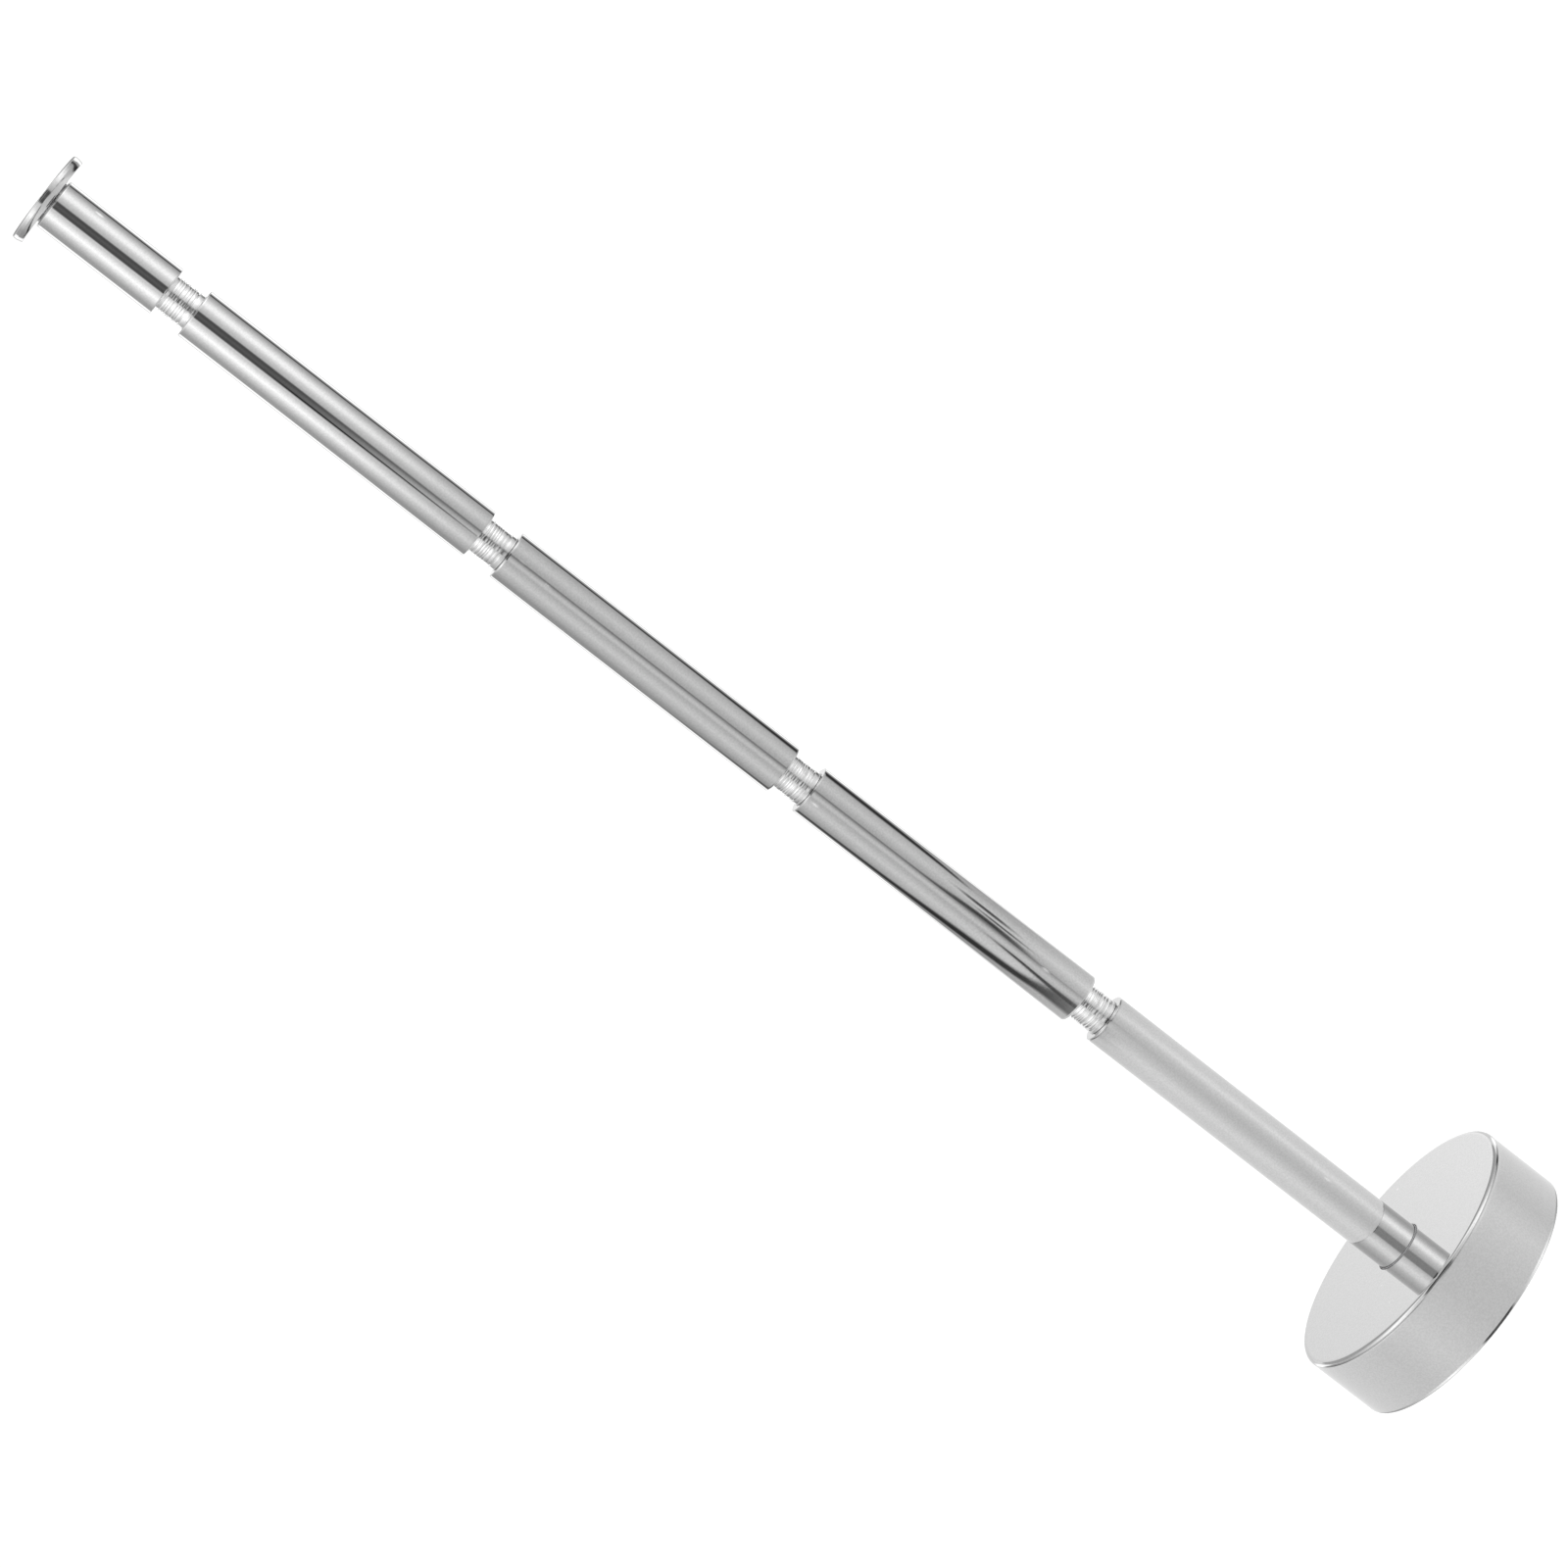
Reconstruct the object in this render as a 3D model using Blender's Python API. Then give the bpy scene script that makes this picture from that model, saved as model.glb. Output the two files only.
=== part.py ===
"""Wall-mounted clothes rail: a round wall base, a sectional rail with hanger grooves and a stop cap.

The wall is the plane Y = 0 and the rail stands out from it along -Y, with +Z up. Every piece is
turned about the rail's axis, so each outline is a list of (along, radius) points, where along is
the distance from the piece's own station on that axis. Lengths are in metres.
"""
import math

import bmesh
import bpy

# Rail
RAIL_DIAMETER = 0.012
ROOT_INSET = 0.005          # rail hidden behind the cover's face
FIRST_GROOVE = 0.091        # cover's face to the middle of the first groove
GROOVE_PITCH = 0.085
GROOVE_COUNT = 4
GROOVE_WIDTH = 0.0074
NECK_DIAMETER = 0.0088
TIP_LENGTH = 0.034          # middle of the last groove to the rail's end
SECTION_CHAMFER = 0.0002

# Threaded joints
THREAD_DIAMETER = 0.008     # tapped holes that join the sections
THREAD_REACH = 0.012        # depth of a tapped hole in a section
THREAD_CHAMFER = 0.0006
HOLE_RELIEF = 0.001         # free depth past the end of a thread
CAP_THREAD_DIAMETER = 0.006
CAP_THREAD_REACH = 0.010

# Base cover
COVER_DIAMETER = 0.066
COVER_DEPTH = 0.019
COVER_WALL = 0.0012
COVER_EDGE_RADIUS = 0.001   # outer radius of the front rim
COVER_BEND = 0.0003         # slope in the corner behind it
COVER_LIP_RADIUS = 0.0004   # rounding of the back rim
BUSH_WALL = 0.0005
BUSH_FLANGE_WIDTH = 0.0025
BUSH_FLANGE_THICKNESS = 0.001

# Wall plate
PLATE_THICKNESS = 0.005
PLATE_CHAMFER = 0.0004
HUB_DIAMETER = 0.020
HUB_CHAMFER = 0.0008        # room for the weld at its foot
BOLT_HOLE_DIAMETER = 0.0066
BOLT_CIRCLE_DIAMETER = 0.040
BOLT_HOLE_COUNT = 3
GRIP_RING_RADIUS = 0.0014   # radius of the rubber ring's section

# Washers and end cap
LOCK_WASHER_THICKNESS = 0.0016
LOCK_WASHER_SLIT_DEG = 8.0
CAP_WASHER_THICKNESS = 0.0005
CAP_WASHER_DIAMETER = 0.010
CAP_DIAMETER = 0.022
CAP_THICKNESS = 0.0025
CAP_EDGE_RADIUS = 0.0005    # rounding of the front edge
CAP_BEVEL = 0.0003          # drop of the bevelled back half of the rim

# Clearances
SEAT_GAP = 0.0002           # between faces that are screwed together
FIT_GAP = 0.0003            # between a thread and its hole, or a ring and its wall
RUNNING_GAP = 0.0002        # between the rail, the bush and the cover
WALL_GAP = 0.0003           # between the cover's back rim and the wall

# Smoothness
RAIL_SIDES = 32
STUD_SIDES = 24
DISC_SIDES = 64
ARC_STEPS = 4
RING_STEPS = 10
SHARP_ANGLE_DEG = 30.0

# Places along the rail, from the wall
rail_radius = RAIL_DIAMETER / 2
rail_start = COVER_DEPTH - ROOT_INSET
groove_middles = [COVER_DEPTH + FIRST_GROOVE + i * GROOVE_PITCH for i in range(GROOVE_COUNT)]
rail_end = groove_middles[-1] + TIP_LENGTH
lock_washer_start = rail_start - SEAT_GAP - LOCK_WASHER_THICKNESS
hub_top = lock_washer_start - SEAT_GAP
cap_washer_start = rail_end + SEAT_GAP
cap_start = cap_washer_start + CAP_WASHER_THICKNESS + SEAT_GAP

# Radii that fit one another
thread_hole_radius = THREAD_DIAMETER / 2
thread_radius = thread_hole_radius - FIT_GAP
cap_hole_radius = CAP_THREAD_DIAMETER / 2
cap_thread_radius = cap_hole_radius - FIT_GAP
bush_inner_radius = rail_radius + RUNNING_GAP
bush_outer_radius = bush_inner_radius + BUSH_WALL
cover_hole_radius = bush_outer_radius + RUNNING_GAP
cover_radius = COVER_DIAMETER / 2
cover_inner_radius = cover_radius - COVER_WALL
grip_ring_middle = cover_inner_radius - FIT_GAP - GRIP_RING_RADIUS
plate_radius = grip_ring_middle

FINISHES = {
    "polished_chrome": ((0.80, 0.80, 0.81), 0.06, 1.0),
    "turned_chrome": ((0.70, 0.70, 0.71), 0.28, 1.0),
    "zinc_plate": ((0.56, 0.58, 0.60), 0.38, 1.0),
    "spring_steel": ((0.54, 0.54, 0.55), 0.40, 1.0),
    "black_rubber": ((0.03, 0.03, 0.03), 0.80, 0.0),
    "grey_nylon": ((0.33, 0.33, 0.34), 0.55, 0.0),
}


def clear_scene():
    for item in list(bpy.data.objects):
        bpy.data.objects.remove(item, do_unlink=True)


def finish_material(name, finish):
    """A material of the piece's own, with the finish's colour, roughness and metallic value."""
    colour, roughness, metallic = FINISHES[finish]
    material = bpy.data.materials.new(name + "_finish")
    material.use_nodes = True
    shader = material.node_tree.nodes["Principled BSDF"]
    shader.inputs["Base Color"].default_value = (*colour, 1.0)
    shader.inputs["Roughness"].default_value = roughness
    shader.inputs["Metallic"].default_value = metallic
    return material


def axis_empty(name):
    """An empty on the rail's axis that carries pieces that move together."""
    empty = bpy.data.objects.new(name, None)
    bpy.context.collection.objects.link(empty)
    return empty


def arc(along, radius, size, start_deg, end_deg, steps=ARC_STEPS):
    """Points of a round corner about (along, radius); 0 degrees points outwards, 90 along the rail."""
    points = []
    for step in range(steps + 1):
        angle = math.radians(start_deg + (end_deg - start_deg) * step / steps)
        points.append((along + size * math.sin(angle), radius + size * math.cos(angle)))
    return points


def turned(name, outline, finish, station, parent=None, sides=RAIL_SIDES, slit_deg=0.0):
    """Spin an outline about the rail's axis. An outline that leaves the axis open becomes a ring."""
    shape = bmesh.new()
    corners = [shape.verts.new((radius, -along, 0.0)) for along, radius in outline]
    is_ring = min(radius for _, radius in outline) > 0.0
    pairs = list(zip(corners, corners[1:]))
    if is_ring:
        pairs.append((corners[-1], corners[0]))
    edges = [shape.edges.new(pair) for pair in pairs]
    geometry = corners + edges
    if slit_deg:
        geometry.append(shape.faces.new(corners))
    bmesh.ops.spin(shape, geom=geometry, cent=(0, 0, 0), axis=(0, 1, 0),
                   angle=math.radians(360.0 - slit_deg), steps=sides, use_merge=not slit_deg)
    bmesh.ops.remove_doubles(shape, verts=shape.verts, dist=1e-7)
    bmesh.ops.recalc_face_normals(shape, faces=shape.faces)
    mesh = bpy.data.meshes.new(name)
    shape.to_mesh(mesh)
    shape.free()
    mesh.shade_smooth()
    mesh.set_sharp_from_angle(angle=math.radians(SHARP_ANGLE_DEG))
    mesh.materials.append(finish_material(name, finish))
    piece = bpy.data.objects.new(name, mesh)
    bpy.context.collection.objects.link(piece)
    piece.parent = parent
    piece.location = (0.0, -station, 0.0)
    return piece


def rail_section(number, start, end, near_hole, far_hole):
    """One polished length of the rail, with a tapped hole (radius, depth) in each end."""
    length = end - start
    near_radius, near_depth = near_hole
    far_radius, far_depth = far_hole
    outline = [
        (near_depth, 0.0),
        (near_depth, near_radius),
        (0.0, near_radius),
        (0.0, rail_radius - SECTION_CHAMFER),
        (SECTION_CHAMFER, rail_radius),
        (length - SECTION_CHAMFER, rail_radius),
        (length, rail_radius - SECTION_CHAMFER),
        (length, far_radius),
        (length - far_depth, far_radius),
        (length - far_depth, 0.0),
    ]
    return turned(f"rail_section_{number}", outline, "polished_chrome", start)


def groove_stud(number, start):
    """A turned stud: the bare neck is the hanger groove, and its threaded ends join two sections."""
    reach = THREAD_REACH - HOLE_RELIEF
    neck_radius = NECK_DIAMETER / 2
    neck_end = GROOVE_WIDTH - SEAT_GAP
    far_end = GROOVE_WIDTH + reach
    outline = [
        (-reach, 0.0),
        (-reach, thread_radius - THREAD_CHAMFER),
        (THREAD_CHAMFER - reach, thread_radius),
        (SEAT_GAP, thread_radius),
        (SEAT_GAP, neck_radius),
        (neck_end, neck_radius),
        (neck_end, thread_radius),
        (far_end - THREAD_CHAMFER, thread_radius),
        (far_end, thread_radius - THREAD_CHAMFER),
        (far_end, 0.0),
    ]
    return turned(f"groove_stud_{number}", outline, "turned_chrome", start, sides=STUD_SIDES)


def rail():
    """The sections and the studs between them, from the wall outwards."""
    tapped = (thread_hole_radius, THREAD_REACH)
    tip_tapped = (cap_hole_radius, CAP_THREAD_REACH)
    section_start = rail_start
    for index, middle in enumerate(groove_middles):
        groove_start = middle - GROOVE_WIDTH / 2
        rail_section(index + 1, section_start, groove_start, tapped, tapped)
        groove_stud(index + 1, groove_start)
        section_start = groove_start + GROOVE_WIDTH
    rail_section(GROOVE_COUNT + 1, section_start, rail_end, tapped, tip_tapped)


def wall_plate():
    """The steel plate on the wall, with a groove in its rim and bolt holes."""
    rim_groove = GRIP_RING_RADIUS + FIT_GAP
    outline = [
        (0.0, 0.0),
        (0.0, plate_radius - PLATE_CHAMFER),
        (PLATE_CHAMFER, plate_radius),
        *arc(PLATE_THICKNESS / 2, plate_radius, rim_groove, 270.0, 90.0, RING_STEPS),
        (PLATE_THICKNESS - PLATE_CHAMFER, plate_radius),
        (PLATE_THICKNESS, plate_radius - PLATE_CHAMFER),
        (PLATE_THICKNESS, 0.0),
    ]
    plate = turned("wall_plate", outline, "zinc_plate", 0.0, sides=DISC_SIDES)
    for number in range(BOLT_HOLE_COUNT):
        drill_bolt_hole(plate, number)
    return plate


def drill_bolt_hole(plate, number):
    """Cut one bolt hole, the first at the top, right through the plate."""
    hole_radius = BOLT_HOLE_DIAMETER / 2
    outline = [
        (-PLATE_THICKNESS, 0.0),
        (-PLATE_THICKNESS, hole_radius),
        (2 * PLATE_THICKNESS, hole_radius),
        (2 * PLATE_THICKNESS, 0.0),
    ]
    cutter = turned(f"bolt_hole_cutter_{number + 1}", outline, "zinc_plate", 0.0, plate, STUD_SIDES)
    angle = math.radians(90.0 + number * 360.0 / BOLT_HOLE_COUNT)
    circle_radius = BOLT_CIRCLE_DIAMETER / 2
    cutter.location = (circle_radius * math.cos(angle), 0.0, circle_radius * math.sin(angle))
    cutter.hide_render = True
    cutter.display_type = "WIRE"
    cut = plate.modifiers.new(f"bolt_hole_{number + 1}", "BOOLEAN")
    cut.operation = "DIFFERENCE"
    cut.solver = "EXACT"
    cut.object = cutter


def plate_hub():
    """The tapped hub that is welded to the middle of the plate."""
    start = PLATE_THICKNESS + SEAT_GAP
    length = hub_top - start
    hub_radius = HUB_DIAMETER / 2
    outline = [
        (0.0, thread_hole_radius),
        (0.0, hub_radius - HUB_CHAMFER),
        (HUB_CHAMFER, hub_radius),
        (length - HUB_CHAMFER, hub_radius),
        (length, hub_radius - HUB_CHAMFER),
        (length, thread_hole_radius),
    ]
    return turned("plate_hub", outline, "zinc_plate", start)


def plate_stud():
    """The threaded stud in the hub, which the rail screws onto."""
    start = PLATE_THICKNESS + FIT_GAP
    length = rail_start + THREAD_REACH - HOLE_RELIEF - start
    outline = [
        (0.0, 0.0),
        (0.0, thread_radius - THREAD_CHAMFER),
        (THREAD_CHAMFER, thread_radius),
        (length - THREAD_CHAMFER, thread_radius),
        (length, thread_radius - THREAD_CHAMFER),
        (length, 0.0),
    ]
    return turned("plate_stud", outline, "zinc_plate", start, sides=STUD_SIDES)


def lock_washer():
    """The split spring washer under the rail's end."""
    hole_radius = thread_radius + FIT_GAP
    outline = [
        (0.0, hole_radius),
        (0.0, rail_radius),
        (LOCK_WASHER_THICKNESS, rail_radius),
        (LOCK_WASHER_THICKNESS, hole_radius),
    ]
    return turned("lock_washer", outline, "spring_steel", lock_washer_start,
                  slit_deg=LOCK_WASHER_SLIT_DEG)


def cover_grip_ring():
    """The rubber ring in the plate's rim that holds the cover."""
    outline = arc(0.0, grip_ring_middle, GRIP_RING_RADIUS, 0.0, 360.0, RING_STEPS)[:-1]
    return turned("cover_grip_ring", outline, "black_rubber", PLATE_THICKNESS / 2, sides=DISC_SIDES)


def base_cover(parent):
    """The drawn cup that hides the plate, with a rounded front rim and a hole for the bush."""
    edge_middle = COVER_DEPTH - COVER_EDGE_RADIUS
    inner_face = COVER_DEPTH - COVER_WALL
    lip_middle = WALL_GAP + COVER_LIP_RADIUS
    outline = [
        (COVER_DEPTH, cover_hole_radius),
        *arc(edge_middle, cover_radius - COVER_EDGE_RADIUS, COVER_EDGE_RADIUS, 90.0, 0.0),
        *arc(lip_middle, cover_radius - COVER_LIP_RADIUS, COVER_LIP_RADIUS, 0.0, -90.0),
        (WALL_GAP, cover_inner_radius),
        (inner_face - COVER_BEND, cover_inner_radius),
        (inner_face, cover_inner_radius - COVER_BEND),
        (inner_face, cover_hole_radius),
    ]
    return turned("base_cover", outline, "polished_chrome", 0.0, parent, DISC_SIDES)


def cover_bush(parent):
    """The flanged nylon bush in the cover's hole, which runs on the rail."""
    flange_front = COVER_DEPTH - COVER_WALL - RUNNING_GAP
    flange_back = flange_front - BUSH_FLANGE_THICKNESS
    flange_radius = cover_hole_radius + BUSH_FLANGE_WIDTH
    outline = [
        (COVER_DEPTH, bush_inner_radius),
        (COVER_DEPTH, bush_outer_radius),
        (flange_front, bush_outer_radius),
        (flange_front, flange_radius),
        (flange_back, flange_radius),
        (flange_back, bush_inner_radius),
    ]
    return turned("cover_bush", outline, "grey_nylon", 0.0, parent)


def cap_washer(parent):
    """The thin washer between the rail's end and the cap."""
    hole_radius = cap_thread_radius + FIT_GAP
    washer_radius = CAP_WASHER_DIAMETER / 2
    outline = [
        (0.0, hole_radius),
        (0.0, washer_radius),
        (CAP_WASHER_THICKNESS, washer_radius),
        (CAP_WASHER_THICKNESS, hole_radius),
    ]
    return turned("cap_washer", outline, "spring_steel", cap_washer_start, parent)


def end_cap(parent):
    """The stop disc on the free end, with the threaded spigot that screws into the rail."""
    cap_radius = CAP_DIAMETER / 2
    spigot = cap_start - rail_end + CAP_THREAD_REACH - HOLE_RELIEF
    edge_middle = CAP_THICKNESS - CAP_EDGE_RADIUS
    outline = [
        (-spigot, 0.0),
        (-spigot, cap_thread_radius - THREAD_CHAMFER),
        (THREAD_CHAMFER - spigot, cap_thread_radius),
        (0.0, cap_thread_radius),
        (0.0, cap_radius - CAP_BEVEL),
        (CAP_THICKNESS / 2, cap_radius),
        *arc(edge_middle, cap_radius - CAP_EDGE_RADIUS, CAP_EDGE_RADIUS, 0.0, 90.0),
        (CAP_THICKNESS, 0.0),
    ]
    return turned("end_cap", outline, "polished_chrome", cap_start, parent, DISC_SIDES)


def clothes_rail():
    clear_scene()
    wall_plate()
    plate_hub()
    plate_stud()
    cover_grip_ring()
    lock_washer()
    rail()
    cover_axis = axis_empty("cover_axis")
    cap_axis = axis_empty("cap_axis")
    cover_bush(cover_axis)
    base_cover(cover_axis)
    cap_washer(cap_axis)
    end_cap(cap_axis)


clothes_rail()
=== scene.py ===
# %% [markdown]
# # A wall-mounted clothes rail
# A short chrome rail stands out from a round wall base. Narrow grooves along it keep hangers
# apart, and a flat disc on its free end stops them from sliding off. This lesson dresses the
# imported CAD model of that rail: each turned piece is built again with finer edges and marks,
# gets a finish made of nodes, and is lit as a chrome object is lit in a studio.

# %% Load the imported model
import math
import random

import bmesh
import bpy
from mathutils import Matrix, Vector


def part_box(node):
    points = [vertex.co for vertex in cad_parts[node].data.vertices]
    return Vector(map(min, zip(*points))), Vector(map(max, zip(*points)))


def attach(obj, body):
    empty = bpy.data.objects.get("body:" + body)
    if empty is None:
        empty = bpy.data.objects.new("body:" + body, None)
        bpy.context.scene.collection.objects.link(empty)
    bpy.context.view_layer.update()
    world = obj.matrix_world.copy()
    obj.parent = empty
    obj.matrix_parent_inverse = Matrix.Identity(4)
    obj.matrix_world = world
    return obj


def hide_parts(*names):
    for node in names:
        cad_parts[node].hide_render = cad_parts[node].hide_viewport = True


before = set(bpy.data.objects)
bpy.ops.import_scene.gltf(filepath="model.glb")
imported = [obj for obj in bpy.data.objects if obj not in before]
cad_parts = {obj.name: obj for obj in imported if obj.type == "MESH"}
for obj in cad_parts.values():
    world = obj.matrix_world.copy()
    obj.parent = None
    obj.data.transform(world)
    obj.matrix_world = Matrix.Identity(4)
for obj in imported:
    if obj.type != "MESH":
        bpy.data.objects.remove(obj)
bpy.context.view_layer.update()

MM = 0.001

# %% [markdown]
# The rail stands out from the wall along -Y, so a place on it is given as its distance from the
# wall. Sizes are read from the CAD nodes' own boxes, and so the dressed pieces follow the CAD
# model if it is changed.

# %% Measures along the rail


def along(node):
    """Where a CAD node starts and ends along the rail, from the wall."""
    low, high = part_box(node)
    return -high.y, -low.y


def radius_of(node):
    """Outer radius of a turned CAD node."""
    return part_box(node)[1].x


sections = sorted(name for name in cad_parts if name.startswith("rail_section_"))
studs = sorted(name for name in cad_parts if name.startswith("groove_stud_"))
rail_radius = radius_of(sections[0])
rail_end = along(sections[-1])[1]
print(len(sections), "sections,", len(studs), "grooves, rail end at", round(rail_end, 4))

# %% [markdown]
# ## Camera
# The camera looks down on the rail from above a point near its free end. Because every piece is
# round about the same axis, the picture only depends on where the camera stands along the rail,
# how far off it is and how it is turned. A long lens keeps the rail's edges almost parallel. The
# camera's own axes are set first, with its right-hand side towards the wall, and then it turns a
# little towards the wall and rolls, so that the rail lies across the frame from corner to corner.

# %% Camera
CAMERA_OVER = 0.364      # point of the rail under the camera, from the wall
CAMERA_HEIGHT = 1.007
CAMERA_LENS_MM = 105.85
TURN_TO_WALL_DEG = 9.447
TILT_DEG = 0.134
ROLL_DEG = 37.802

camera_data = bpy.data.cameras.new("camera")
camera_data.lens = CAMERA_LENS_MM
camera = bpy.data.objects.new("camera", camera_data)
bpy.context.scene.collection.objects.link(camera)
right, up, back = Vector((0, 1, 0)), Vector((-1, 0, 0)), Vector((0, 0, 1))
facing_down = Matrix((right, up, back)).transposed().to_4x4()
camera.matrix_world = (
    Matrix.Translation((0.0, -CAMERA_OVER, CAMERA_HEIGHT))
    @ facing_down
    @ Matrix.Rotation(-math.radians(TURN_TO_WALL_DEG), 4, "Y")
    @ Matrix.Rotation(-math.radians(TILT_DEG), 4, "X")
    @ Matrix.Rotation(math.radians(ROLL_DEG), 4, "Z")
)
bpy.context.scene.camera = camera
bpy.context.scene.view_settings.view_transform = "Standard"
print("camera at", [round(v, 3) for v in camera.location])

# %% [markdown]
# ## Helpers
# Finishes are built from many small nodes. A few helpers keep that readable: one adds any node and
# fills its sockets with values or links, and the others do arithmetic, soft steps and blends between
# sockets. Shapes are made as loose geometry first, and one helper turns such a shape into an object.

# %% Helpers


def object_from(shape, name):
    """A scene object that holds the shape's mesh."""
    mesh = bpy.data.meshes.new(name)
    shape.to_mesh(mesh)
    shape.free()
    item = bpy.data.objects.new(name, mesh)
    bpy.context.scene.collection.objects.link(item)
    return item


def add_node(tree, kind, sockets=None, **settings):
    """Add a node, set its own settings, and fill its input sockets with values or links."""
    node = tree.nodes.new(kind)
    for name, value in settings.items():
        setattr(node, name, value)
    for name, value in (sockets or {}).items():
        if isinstance(value, bpy.types.NodeSocket):
            tree.links.new(value, node.inputs[name])
        else:
            node.inputs[name].default_value = value
    return node


def calc(tree, operation, first, second=0.0):
    """The result socket of a Math node."""
    return add_node(tree, "ShaderNodeMath", {0: first, 1: second}, operation=operation).outputs[0]


def ease(tree, value, start, end, low=0.0, high=1.0):
    """A smooth step from low to high as value goes from start to end."""
    sockets = {"Value": value, "From Min": start, "From Max": end, "To Min": low, "To Max": high}
    node = add_node(tree, "ShaderNodeMapRange", sockets, interpolation_type="SMOOTHSTEP")
    return node.outputs["Result"]


def blend_values(tree, share, first, second):
    """A number that goes from first to second with share."""
    node = add_node(tree, "ShaderNodeMix", {0: share, 2: first, 3: second}, data_type="FLOAT")
    return node.outputs[0]


def empty_tree(owner):
    """The node tree of a material or world, with nothing in it."""
    owner.use_nodes = True
    owner.node_tree.nodes.clear()
    return owner.node_tree


# %% [markdown]
# ## Stage
# The background is plain white, from a pale floor well below the rail and a white world. Light
# Path lifts both to full white for the camera and for reflections, while the lamp and the world
# light the object at an ordinary level. The floor is still a real surface, so it takes a soft
# shadow. Far off, where the lamp no longer reaches, it is lifted more, so that no horizon shows.

# %% Floor and world
FLOOR_BELOW = 0.45       # from the rail's axis down to the floor
FLOOR_SIZE = 24.0
FLOOR_GREY = (0.86, 0.86, 0.86, 1)
NEAR_FLOOR, FAR_FLOOR = 1.0, 5.0
NEAR_LIFT, FAR_LIFT = 0.16, 0.33
AMBIENT = 0.80
WHITE = (1, 1, 1, 1)


def seen_directly(tree):
    """1 for camera, glossy and transmission rays, and 0 for the rays that carry light."""
    path = add_node(tree, "ShaderNodeLightPath")
    seen = calc(tree, "MAXIMUM", path.outputs["Is Camera Ray"], path.outputs["Is Glossy Ray"])
    return calc(tree, "MAXIMUM", seen, path.outputs["Is Transmission Ray"])


world = bpy.data.worlds.new("white_room")
bpy.context.scene.world = world
tree = empty_tree(world)
strength = blend_values(tree, seen_directly(tree), AMBIENT, 1.0)
room = add_node(tree, "ShaderNodeBackground", {"Color": WHITE, "Strength": strength})
add_node(tree, "ShaderNodeOutputWorld", {"Surface": room.outputs[0]})

shape = bmesh.new()
bmesh.ops.create_grid(shape, x_segments=1, y_segments=1, size=FLOOR_SIZE / 2,
                      matrix=Matrix.Translation((0, 0, -FLOOR_BELOW)))
floor = object_from(shape, "floor")

floor_paint = bpy.data.materials.new("white_floor")
tree = empty_tree(floor_paint)
paint = add_node(tree, "ShaderNodeBsdfDiffuse", {"Color": FLOOR_GREY})
place = add_node(tree, "ShaderNodeTexCoord").outputs["Object"]
distance = add_node(tree, "ShaderNodeVectorMath", {0: place}, operation="LENGTH").outputs["Value"]
lift = ease(tree, distance, NEAR_FLOOR, FAR_FLOOR, NEAR_LIFT, FAR_LIFT)
lift = calc(tree, "MULTIPLY", seen_directly(tree), lift)
glow = add_node(tree, "ShaderNodeEmission", {"Color": WHITE, "Strength": lift})
both = add_node(tree, "ShaderNodeAddShader", {0: paint.outputs[0], 1: glow.outputs[0]})
add_node(tree, "ShaderNodeOutputMaterial", {"Surface": both.outputs[0]})
floor.data.materials.append(floor_paint)
print("floor at", -FLOOR_BELOW)

# %% [markdown]
# One wide soft lamp hangs above the free end. It gives the shadow its direction and shapes the
# rubber and nylon. Chrome would show it as a hard rectangle, so it is left out of reflections.

# %% Lamp
LAMP_SIZE = 1.6
LAMP_PLACE = Vector((-0.9, -0.7, 1.9))
LAMP_AIM = Vector((0.0, -0.2, 0.0))
LAMP_WATTS = 26.0

lamp_data = bpy.data.lights.new("soft_lamp", "AREA")
lamp_data.size = LAMP_SIZE
lamp_data.energy = LAMP_WATTS
lamp = bpy.data.objects.new("soft_lamp", lamp_data)
lamp.location = LAMP_PLACE
lamp.rotation_euler = (LAMP_AIM - LAMP_PLACE).to_track_quat("-Z", "Y").to_euler()
lamp.visible_glossy = False
bpy.context.scene.collection.objects.link(lamp)
print("lamp", LAMP_WATTS, "W")

# %% [markdown]
# ## Light tent
# Chrome has almost no colour of its own: it shows the room. Photographers put a tent of white
# cloth round such an object, with lit strips, a dark slot for the camera and black cards, and
# those draw the long bands on the metal. Here the tent is a drum about the rail's axis that only
# reflections see. Nodes paint its cloth from two measures: the angle round the rail, where 0 is
# the camera's side, and the station, which is the point of the rail that mirrors this part of the
# cloth into the lens. Each look below is one ring of cloth, and the looks blend along the rail.

# %% Looks of the light tent
TENT_RADIUS = 1.5
TENT_HALF_LENGTH = 5.0

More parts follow.
